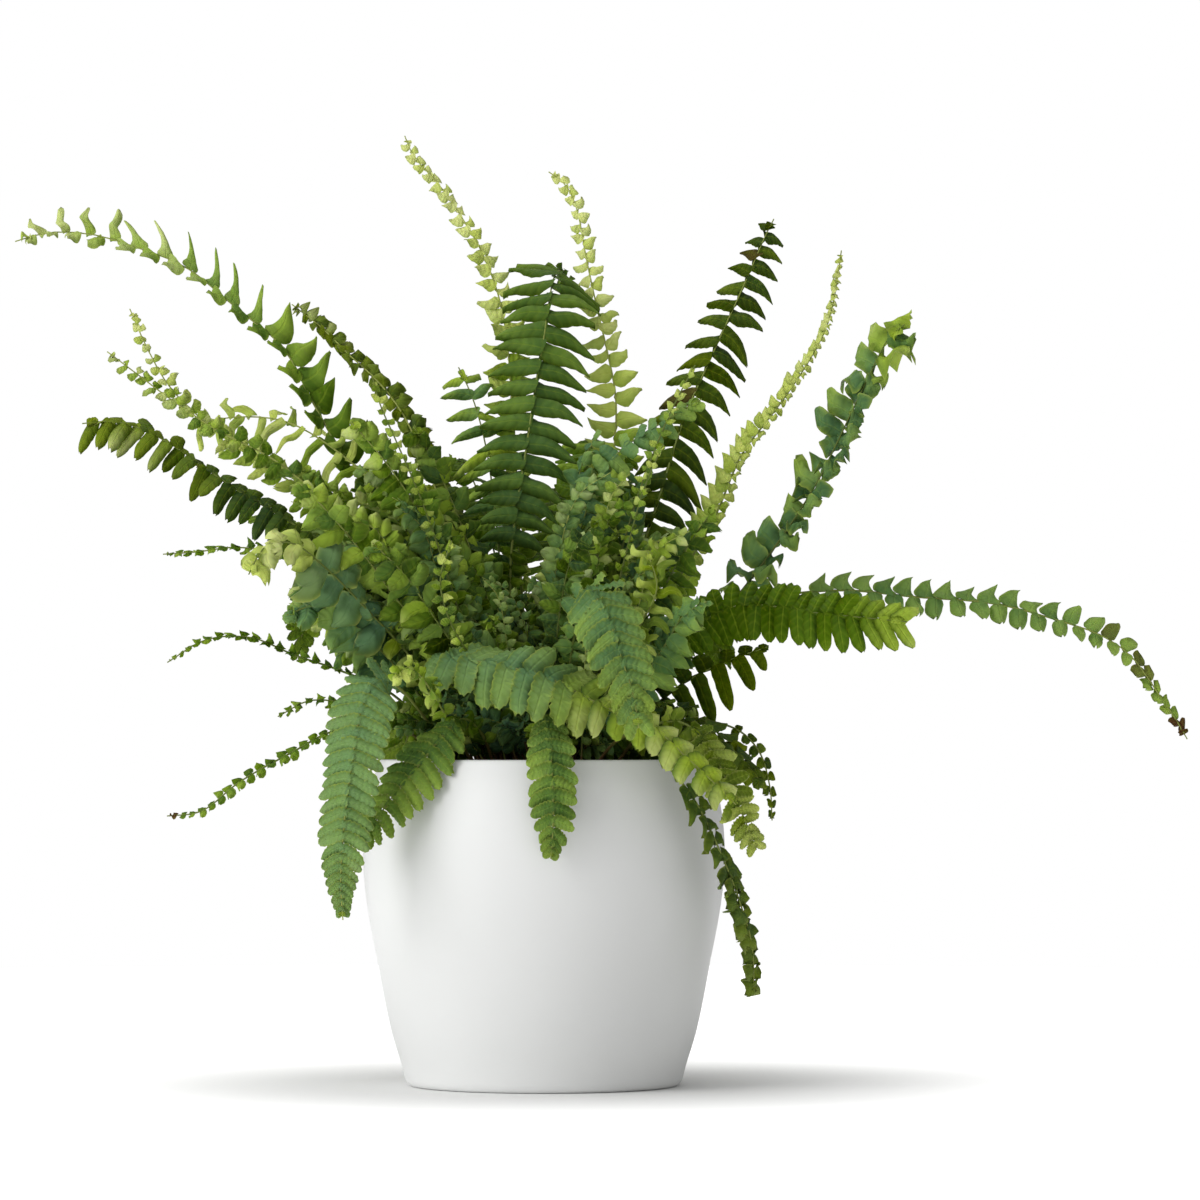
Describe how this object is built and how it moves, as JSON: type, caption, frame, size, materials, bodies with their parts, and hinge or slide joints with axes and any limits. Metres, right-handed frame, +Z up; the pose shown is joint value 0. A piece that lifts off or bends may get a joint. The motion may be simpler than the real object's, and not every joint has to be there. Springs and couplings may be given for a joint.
{
  "type": "potted fern",
  "caption": "Young sword fern with arching, drooping and upright fronds of paired leaflets, growing in a smooth white bellied cover pot.",
  "frame": {"origin": "centre of the cover pot's flat foot, on the surface it stands on", "axes": "+Z up along the pot's axis, +X to the right seen from the front, +Y to the back"},
  "size_m": [0.5301, 0.299, 0.4292],
  "materials": {
    "cover_pot_white": "satin",
    "grow_pot_black": "satin",
    "potting_soil": "matte",
    "leaf_blue": "satin",
    "leaf_dark": "satin",
    "leaf_deep": "satin",
    "leaf_light": "satin",
    "leaf_mid": "satin",
    "leaf_olive": "satin"
  },
  "bodies": {
    "root": {"cover_pot": "cover_pot_white", "grow_pot": "grow_pot_black", "soil": "potting_soil", "frond_front_drop": "leaf_blue", "frond_front_sweep": "leaf_blue", "frond_left_drop": "leaf_blue", "frond_left_slant": "leaf_mid", "frond_centre_drop": "leaf_mid", "frond_centre_upright": "leaf_deep", "frond_dark_right": "leaf_dark", "frond_curled_right": "leaf_blue", "frond_thin_right": "leaf_light", "frond_right_broad": "leaf_mid", "frond_right_arch": "leaf_mid", "frond_left_arch": "leaf_mid", "frond_tall_left": "leaf_light", "frond_tall_mid": "leaf_light", "frond_left_blue": "leaf_blue", "frond_left_short": "leaf_dark", "frond_left_reach": "leaf_dark", "frond_left_fork": "leaf_mid", "frond_left_light": "leaf_light", "frond_left_curtain": "leaf_light", "frond_left_crinkle": "leaf_olive", "frond_left_leaf_low": "leaf_blue", "frond_left_wisp": "leaf_mid", "frond_left_low_wisp": "leaf_mid", "frond_left_stub": "leaf_mid", "frond_left_mid_wisp": "leaf_mid", "frond_left_inner_a": "leaf_mid", "frond_left_inner_b": "leaf_deep", "frond_left_inner_c": "leaf_mid", "frond_left_inner_d": "leaf_deep", "frond_left_back": "leaf_mid", "frond_young_left": "leaf_light", "frond_young_centre": "leaf_light", "frond_young_front": "leaf_light", "frond_young_right": "leaf_light", "frond_young_right_low": "leaf_light", "frond_right_row": "leaf_blue", "frond_right_bright": "leaf_olive", "frond_right_cluster": "leaf_mid", "frond_right_lower_blue": "leaf_blue", "frond_right_dark_low": "leaf_dark", "frond_right_olive": "leaf_olive", "frond_right_drop": "leaf_dark", "frond_right_dark_side": "leaf_dark", "frond_right_bare": "leaf_dark", "frond_centre_inner": "leaf_deep", "frond_back_centre": "leaf_deep", "frond_back_left": "leaf_mid", "frond_back_right": "leaf_mid", "frond_back_left_wide": "leaf_deep", "frond_back_right_wide": "leaf_deep", "frond_back_drop": "leaf_blue", "frond_back_drop_left": "leaf_mid", "frond_back_drop_right": "leaf_blue", "frond_back_tall": "leaf_mid", "frond_back_tall_left": "leaf_deep", "frond_back_left_high": "leaf_mid"}
  },
  "joints": []
}
